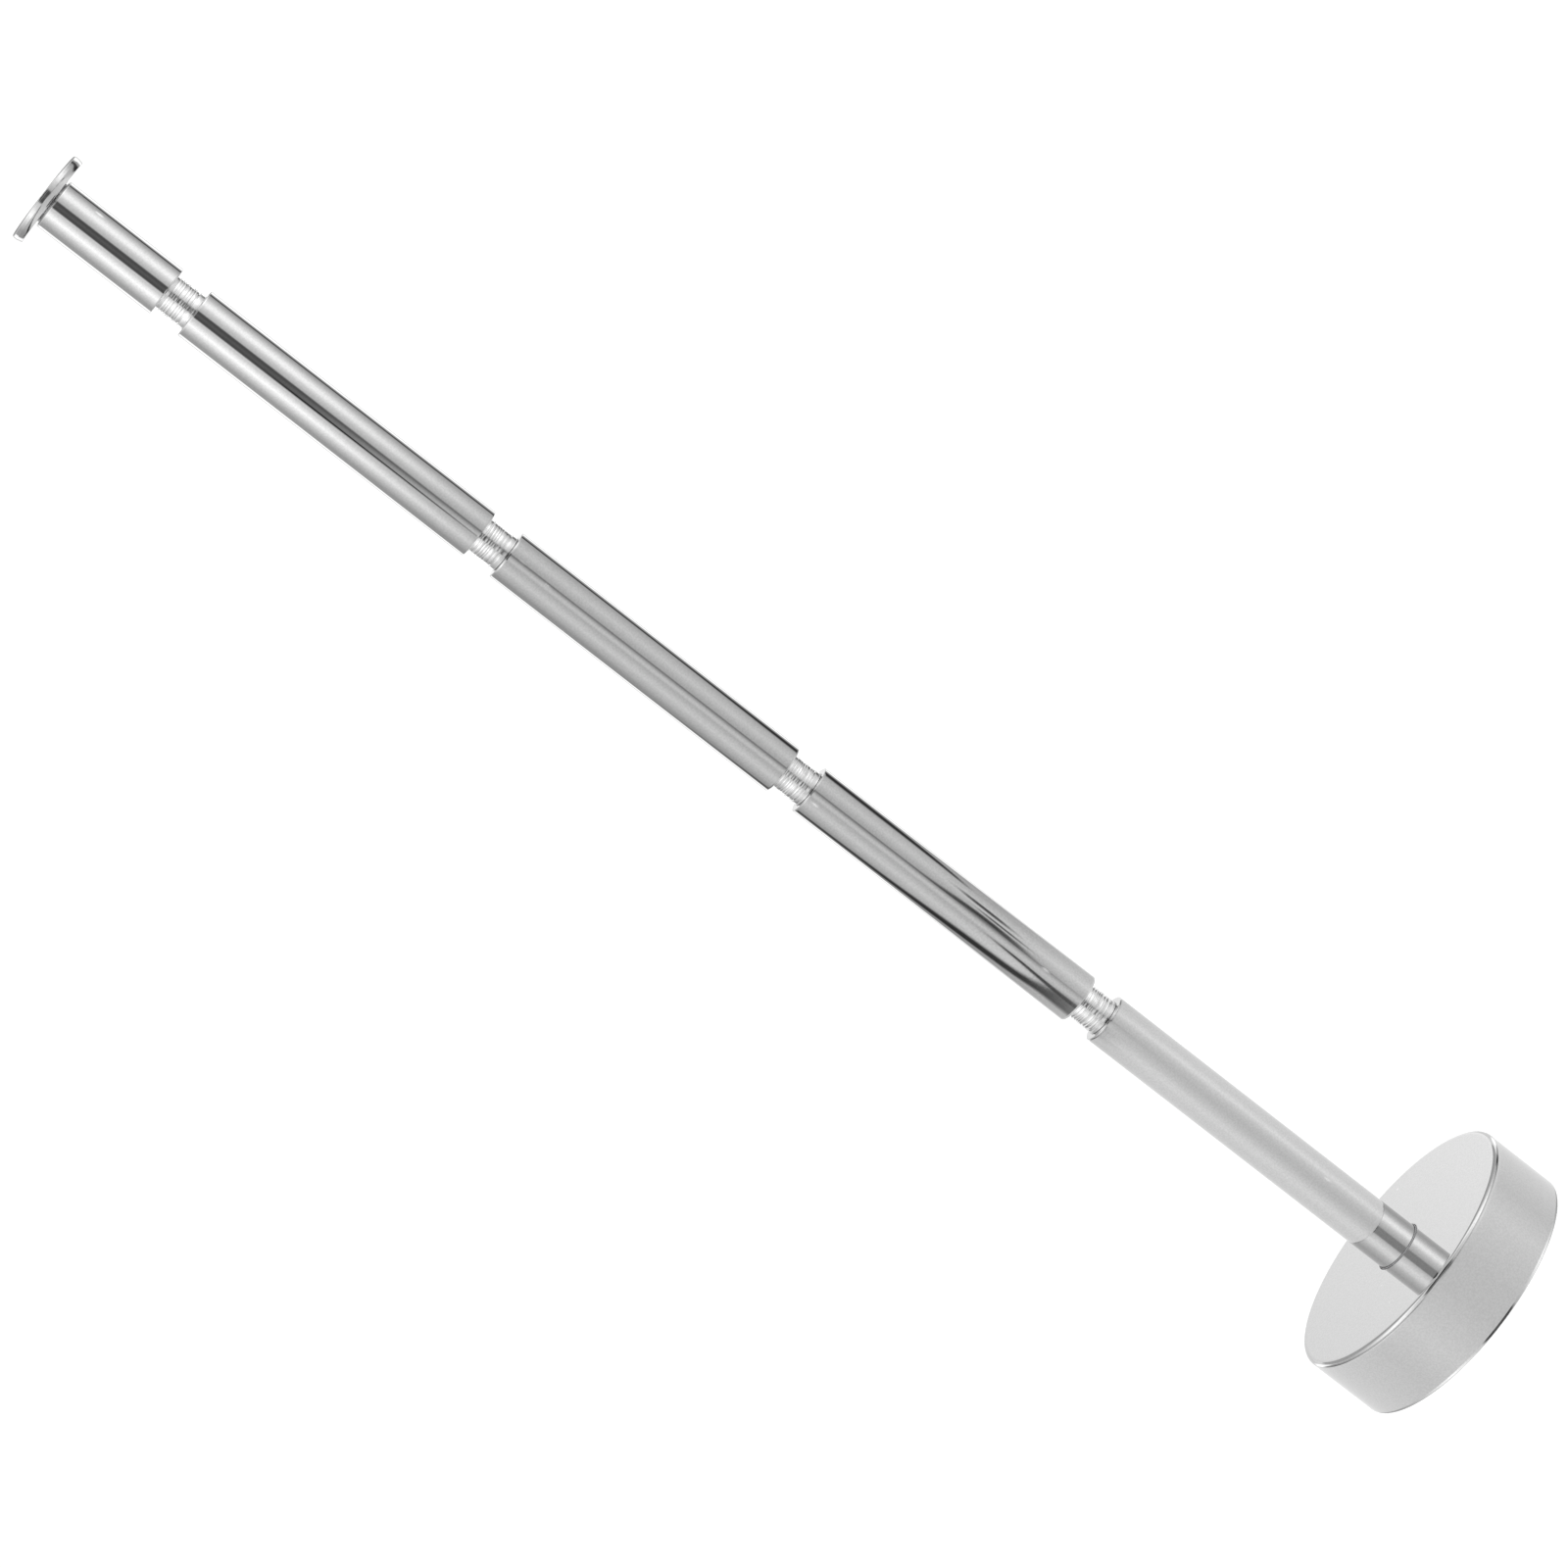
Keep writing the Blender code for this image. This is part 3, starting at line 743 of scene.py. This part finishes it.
def shank_end(place, way, core):
    """Corners of a chamfered shank end, from the axis outwards; way is +1 or -1, into the shank."""
    return [(place, 0.0, 0), (place, core - THREAD_LEAD, 0), (place + way * THREAD_LEAD, core, 0)]


def add_thread(shape, start, end, core, crest, pitch):
    """Wind a right-hand thread round a shank between two places on the axis."""
    outline = [(-THREAD_FOOT * pitch, core - THREAD_SINK), (-THREAD_CROWN * pitch, crest),
               (THREAD_CROWN * pitch, crest), (THREAD_FOOT * pitch, core - THREAD_SINK)]
    first = start + 0.5 * pitch
    turns = (end - start) / pitch - 1.0
    verts = [shape.verts.new((radius, -(first + place), 0.0)) for place, radius in outline]
    ridge = shape.faces.new(verts)
    steps = round(turns * THREAD_STEPS)
    before = set(shape.faces)
    bmesh.ops.spin(shape, geom=[ridge, *ridge.edges, *verts], cent=(0, 0, 0), axis=(0, -1, 0),
                   dvec=(0, -pitch / THREAD_STEPS, 0), angle=turns * math.tau, steps=steps)
    wound = [face for face in shape.faces if face not in before or face == ridge]
    bmesh.ops.recalc_face_normals(shape, faces=wound)


# %% [markdown]
# ## Grooves
# Between two sections shows the bare neck of a stud that screws into both. The lathe left it
# ringed: uneven ridges a fraction of a millimetre wide, and a narrow collar next to the shoulder
# nearer the wall. The ridges are real geometry, placed by a seeded random draw.

# %% Groove studs
NECK_RADIUS = 4.4 * MM
NECK_GAP = 0.05 * MM
COLLAR_WIDTH = 1.35 * MM
COLLAR_RISE = 0.10 * MM
COLLAR_GROOVE = 0.22 * MM
COLLAR_EDGE = 0.06 * MM
GROOVE_START, GROOVE_END, RIDGES_START = 0.08 * MM, 0.26 * MM, 0.36 * MM  # past the collar
RIDGES_STOP = 0.7 * MM   # short of the neck's end
RIDGE_WIDTH, RIDGE_RISE, VALLEY_DEPTH = (0.28, 0.75), (-0.05, 0.05), (0.05, 0.13)
RIDGE_NEAR, RIDGE_CROWN, RIDGE_FAR = -0.01 * MM, 0.03 * MM, -0.02 * MM  # heights across a ridge
VALLEY_HALF = 0.07 * MM
STUD_CORE, STUD_CREST, STUD_PITCH = 3.3 * MM, 3.85 * MM, 1.25 * MM


def neck_corners(draw, start, end):
    """Corners of a neck from the wall side outwards: collar, a groove, then uneven ridges."""
    corners = [
        (start, NECK_RADIUS + COLLAR_RISE, COLLAR_EDGE),
        (start + COLLAR_WIDTH, NECK_RADIUS + COLLAR_RISE, COLLAR_EDGE),
        (start + COLLAR_WIDTH + GROOVE_START, NECK_RADIUS - COLLAR_GROOVE, 0),
        (start + COLLAR_WIDTH + GROOVE_END, NECK_RADIUS - COLLAR_GROOVE, 0),
    ]
    place = start + COLLAR_WIDTH + RIDGES_START
    while place < end - RIDGES_STOP:
        width = draw.uniform(*RIDGE_WIDTH) * MM
        rise = draw.uniform(*RIDGE_RISE) * MM
        corners.append((place, NECK_RADIUS + rise + RIDGE_NEAR, 0))
        corners.append((place + 0.5 * width, NECK_RADIUS + rise + RIDGE_CROWN, 0))
        corners.append((place + width, NECK_RADIUS + rise + RIDGE_FAR, 0))
        place += width + VALLEY_HALF
        corners.append((place, NECK_RADIUS - draw.uniform(*VALLEY_DEPTH) * MM, 0))
        place += VALLEY_HALF
    corners.append((end, NECK_RADIUS, 0))
    return corners


for number, node in enumerate(studs):
    start, end = along(node)
    neck_start = along(sections[number])[1] + NECK_GAP
    neck_end = along(sections[number + 1])[0] - NECK_GAP
    shape = spin_outline([
        *shank_end(start, 1, STUD_CORE),
        (neck_start, STUD_CORE, 0),
        *neck_corners(random.Random(20 + number), neck_start, neck_end),
        (neck_end, STUD_CORE, 0),
        *reversed(shank_end(end, -1, STUD_CORE)),
    ], sides=96)
    add_thread(shape, start + THREAD_LEAD, neck_start, STUD_CORE, STUD_CREST, STUD_PITCH)
    add_thread(shape, neck_end, end - THREAD_LEAD, STUD_CORE, STUD_CREST, STUD_PITCH)
    finish_piece(shape, node + "_turned", turned_chrome, "wall_base", node)

# %% [markdown]
# ## End disc
# The stop disc and its threaded spigot are one turned piece. The back half of its rim slopes
# slightly, so the rim shows two bands of light. A thin steel washer sits between it and the rail.
# CAD keeps clear gaps between these three; on the real rail the disc is screwed home, so here it
# sits closer and presses the washer flat.

# %% End disc and washer
DISC_THICKNESS = 2.5 * MM
SCREWED_HOME = 0.65 * MM  # how far the disc is drawn in from its place in CAD
TIGHT_GAP = 0.02 * MM
DISC_SLOPE, SLOPE_LEFT = 0.3 * MM, 0.16  # drop of the rim's back half, and its share by the ridge
DISC_EDGE, DISC_BACK_EDGE = 0.45 * MM, 0.12 * MM
RIDGE_ROUND, RIDGE_HOLD, RIM_HOLD = 0.05 * MM, 0.2 * MM, 0.1 * MM
WASHER_HOLE, WASHER_EDGE = 3.0 * MM, 0.05 * MM
SPIGOT_CORE, SPIGOT_CREST, SPIGOT_PITCH = 2.4 * MM, 2.85 * MM, 1.0 * MM

spigot_start = along("end_cap")[0]
disc_front = along("end_cap")[1] - SCREWED_HOME
disc_back = disc_front - DISC_THICKNESS
disc_radius = radius_of("end_cap")
disc_middle = disc_back + DISC_THICKNESS / 2
shape = spin_outline([
    *shank_end(spigot_start, 1, SPIGOT_CORE),
    (disc_back, SPIGOT_CORE, 0),
    (disc_back, disc_radius - DISC_SLOPE - HOLD, 0),
    (disc_back, disc_radius - DISC_SLOPE, DISC_BACK_EDGE),
    (disc_middle - RIDGE_HOLD, disc_radius - DISC_SLOPE * SLOPE_LEFT, 0),
    (disc_middle, disc_radius, RIDGE_ROUND),
    (disc_middle + RIDGE_HOLD, disc_radius, 0),
    (disc_front - DISC_EDGE - RIM_HOLD, disc_radius, 0),
    (disc_front, disc_radius, DISC_EDGE),
    (disc_front, disc_radius - DISC_EDGE - HOLD, 0),
    (disc_front, 0.0, 0),
])
add_thread(shape, spigot_start + THREAD_LEAD, disc_back - SPIGOT_PITCH, SPIGOT_CORE, SPIGOT_CREST,
           SPIGOT_PITCH)
finish_piece(shape, "end_cap_polished", cover_chrome, "end_cap", "end_cap")

washer_start, washer_end = rail_end + TIGHT_GAP, disc_back - TIGHT_GAP
washer_radius = radius_of("cap_washer")
shape = spin_outline([
    (washer_start, WASHER_HOLE, WASHER_EDGE),
    (washer_start, washer_radius, WASHER_EDGE),
    (washer_end, washer_radius, WASHER_EDGE),
    (washer_end, WASHER_HOLE, WASHER_EDGE),
])
finish_piece(shape, "cap_washer_stamped", spring_steel, "cap_washer", "cap_washer")

# %% [markdown]
# ## Base cover and bush
# The cover is a drawn cup with a soft front edge and a rounded back rim. The nylon bush in its hole
# stands out a little, so it shows as a thin grey ring that the cover's face mirrors.

# %% Base cover and bush
COVER_WALL = 1.2 * MM
COVER_HOLE = 6.36 * MM
COVER_EDGE = 1.0 * MM
COVER_LIP, INNER_LIP = 0.30 * MM, 0.15 * MM
HOLE_EDGE, INNER_HOLE_EDGE = 0.12 * MM, 0.1 * MM
INNER_EDGE = 0.3 * MM

cover_back, cover_front = along("base_cover")
cover_radius = radius_of("base_cover")
cover_inner = cover_radius - COVER_WALL
shape = spin_outline([
    (cover_front, COVER_HOLE, HOLE_EDGE),
    (cover_front, COVER_HOLE + HOLD, 0),
    (cover_front, cover_radius - COVER_EDGE - HOLD, 0),
    (cover_front, cover_radius, COVER_EDGE),
    (cover_front - COVER_EDGE - HOLD, cover_radius, 0),
    (cover_back + COVER_LIP + HOLD, cover_radius, 0),
    (cover_back, cover_radius, COVER_LIP),
    (cover_back, cover_inner, INNER_LIP),
    (cover_front - COVER_WALL - HOLD, cover_inner, 0),
    (cover_front - COVER_WALL, cover_inner, INNER_EDGE),
    (cover_front - COVER_WALL, COVER_HOLE, INNER_HOLE_EDGE),
], sides=192)
finish_piece(shape, "base_cover_drawn", cover_chrome, "cover", "base_cover")

BUSH_INNER, BUSH_OUTER = 6.05 * MM, 6.28 * MM
BUSH_EDGE, BUSH_BACK_EDGE = 0.06 * MM, 0.12 * MM
BUSH_PROUD = 0.2 * MM
FLANGE_THICKNESS, FLANGE_EDGE = 1.0 * MM, 0.25 * MM
bush_back = along("cover_bush")[0]
bush_front = along("cover_bush")[1] + BUSH_PROUD
flange_radius = radius_of("cover_bush")
flange_front = bush_back + FLANGE_THICKNESS
shape = spin_outline([
    (bush_front, BUSH_INNER, BUSH_EDGE),
    (bush_front, BUSH_OUTER, BUSH_EDGE),
    (flange_front, BUSH_OUTER, 0),
    (flange_front, flange_radius, FLANGE_EDGE),
    (bush_back, flange_radius, FLANGE_EDGE),
    (bush_back, BUSH_INNER, BUSH_BACK_EDGE),
])
finish_piece(shape, "cover_bush_moulded", grey_nylon, "cover_bush", "cover_bush")

# %% [markdown]
# ## Wall plate
# The plate is turned from zinc-plated steel with a groove in its rim for the rubber ring. Its three
# bolt holes are cut with a Boolean, because they stand off the axis: each cutter is a spun shank
# that widens at both faces, which breaks the hole's edges.

# %% Wall plate
RIM_GROOVE = 1.7 * MM
PLATE_EDGE = 0.4 * MM
BOLT_RADIUS = 3.3 * MM
BOLT_CIRCLE = 20.0 * MM
BOLT_HOLES = 3
BOLT_BREAK = 0.35 * MM
CUTTER_SPARE = 1.0 * MM

plate_back, plate_front = along("wall_plate")
plate_radius = radius_of("wall_plate")
plate_middle = (plate_back + plate_front) / 2


def rim_groove_corners(steps=12):
    """The round groove in the rim, from the back of the plate to its front."""
    corners = []
    for step in range(steps + 1):
        angle = math.pi * step / steps
        corners.append((plate_middle - RIM_GROOVE * math.cos(angle),
                        plate_radius - RIM_GROOVE * math.sin(angle), 0))
    return corners


shape = spin_outline([
    (plate_back, 0.0, 0),
    (plate_back, plate_radius, PLATE_EDGE),
    *rim_groove_corners(),
    (plate_front, plate_radius, PLATE_EDGE),
    (plate_front, 0.0, 0),
], sides=160)
plate = finish_piece(shape, "wall_plate_zinc", zinc_plate, "wall_base", "wall_plate")

flare = BOLT_RADIUS + BOLT_BREAK + CUTTER_SPARE
for number in range(BOLT_HOLES):
    angle = math.radians(90 + 360 / BOLT_HOLES * number)
    shape = spin_outline([
        (plate_back - CUTTER_SPARE, 0.0, 0),
        (plate_back - CUTTER_SPARE, flare, 0),
        (plate_back + BOLT_BREAK, BOLT_RADIUS, 0),
        (plate_front - BOLT_BREAK, BOLT_RADIUS, 0),
        (plate_front + CUTTER_SPARE, flare, 0),
        (plate_front + CUTTER_SPARE, 0.0, 0),
    ], sides=48)
    bmesh.ops.translate(shape, verts=shape.verts, vec=(
        BOLT_CIRCLE * math.cos(angle), 0.0, BOLT_CIRCLE * math.sin(angle)))
    cutter = object_from(shape, "bolt_cutter")
    cut = plate.modifiers.new("bolt_hole", "BOOLEAN")
    cut.operation, cut.solver, cut.object = "DIFFERENCE", "EXACT", cutter
    bpy.context.view_layer.update()
    drilled = plate.evaluated_get(bpy.context.evaluated_depsgraph_get())
    plate.data = bpy.data.meshes.new_from_object(drilled)
    plate.modifiers.clear()
    bpy.data.objects.remove(cutter)
plate.data.name = plate.name
plate.data.set_sharp_from_angle(angle=math.radians(SHARP_DEG))
print("plate with", BOLT_HOLES, "holes,", len(plate.data.polygons), "faces")

# %% [markdown]
# The hub is welded on, so a rippled bead runs round its foot. The bead is a spun circle whose
# rings are swollen and moved by turns, as each drop of weld freezes. The stud is threaded all along.

# %% Hub, weld and stud
HUB_EDGE, HUB_HOLE_EDGE = 0.6 * MM, 0.3 * MM
WELD_SIZE = 1.25 * MM
WELD_OUT, WELD_UP = 0.2 * MM, 0.3 * MM    # the bead's middle, from the hub's foot
WELD_RIPPLES, RIPPLE_STEPS = 52, 6
RIPPLE_SIZE, SWELL_RANGE = 0.06, (0.9, 1.12)

hub_back, hub_front = along("plate_hub")
hub_radius = radius_of("plate_hub")
shape = spin_outline([
    (hub_back, TAPPED_RADIUS, 0),
    (hub_back, hub_radius, HUB_EDGE),
    (hub_front, hub_radius, HUB_EDGE),
    (hub_front, TAPPED_RADIUS, HUB_HOLE_EDGE),
])
finish_piece(shape, "plate_hub_turned", zinc_plate, "wall_base", "plate_hub")

shape = bmesh.new()
weld_radius, weld_place = hub_radius + WELD_OUT, plate_front + WELD_UP
foot = Matrix.Translation((weld_radius, -weld_place, 0))
bead = bmesh.ops.create_circle(shape, segments=14, radius=WELD_SIZE, matrix=foot)["verts"]
spin_once(shape, [*bead, *shape.edges], WELD_RIPPLES * RIPPLE_STEPS)
drift = random.Random(5)
swell = [drift.uniform(*SWELL_RANGE) for _ in range(WELD_RIPPLES)]
for vert in shape.verts:
    turn = math.atan2(vert.co.z, vert.co.x) % math.tau
    drop = turn / math.tau * WELD_RIPPLES
    ripple = RIPPLE_SIZE * math.cos(drop * math.tau)
    size = swell[int(drop) % WELD_RIPPLES] * 0.5 + 0.5 + ripple
    middle = Vector((math.cos(turn), 0, math.sin(turn))) * weld_radius
    middle.y = -weld_place
    vert.co = middle + (vert.co - middle) * size
finish_piece(shape, "hub_weld", zinc_plate, "wall_base")

stud_start, stud_end = along("plate_stud")
shape = spin_outline([
    *shank_end(stud_start, 1, STUD_CORE),
    *reversed(shank_end(stud_end, -1, STUD_CORE)),
], sides=64)
add_thread(shape, stud_start + THREAD_LEAD, stud_end - THREAD_LEAD, STUD_CORE, STUD_CREST, STUD_PITCH)
finish_piece(shape, "plate_stud_threaded", zinc_plate, "wall_base", "plate_stud")

# %% [markdown]
# ## Lock washer and rubber ring
# The lock washer is a ring with a cut through it, so its section is a face that is spun almost all
# the way round. The rubber ring is a circle that is spun the whole way.

# %% Lock washer and rubber ring
SLIT_DEG = 8.0
LOCK_HOLE = 4.0 * MM
LOCK_EDGE = 0.12 * MM

lock_start, lock_end = along("lock_washer")
lock_radius = radius_of("lock_washer")
shape = bmesh.new()
outline = [(lock_start, LOCK_HOLE), (lock_start, lock_radius),
           (lock_end, lock_radius), (lock_end, LOCK_HOLE)]
verts = [shape.verts.new((radius, -place, 0.0)) for place, radius in outline]
section = shape.faces.new(verts)
bmesh.ops.spin(shape, geom=[section, *section.edges, *verts], cent=(0, 0, 0), axis=(0, 1, 0),
               angle=math.radians(360 - SLIT_DEG), steps=96)
bmesh.ops.recalc_face_normals(shape, faces=shape.faces)
square_edges = [edge for edge in shape.edges if edge.calc_face_angle(0.0) > math.radians(60)]
bmesh.ops.bevel(shape, geom=square_edges, offset=LOCK_EDGE, segments=2, profile=0.5,
                affect="EDGES", material=-1)
finish_piece(shape, "lock_washer_split", spring_steel, "wall_base", "lock_washer")

RING_RADIUS = 1.4 * MM
ring_low, ring_high = along("cover_grip_ring")
ring_middle = radius_of("cover_grip_ring") - RING_RADIUS
shape = bmesh.new()
section_place = Matrix.Translation((ring_middle, -(ring_low + ring_high) / 2, 0))
verts = bmesh.ops.create_circle(shape, segments=20, radius=RING_RADIUS, matrix=section_place)["verts"]
spin_once(shape, [*verts, *shape.edges], 160)
finish_piece(shape, "cover_grip_ring_moulded", black_rubber, "wall_base", "cover_grip_ring")
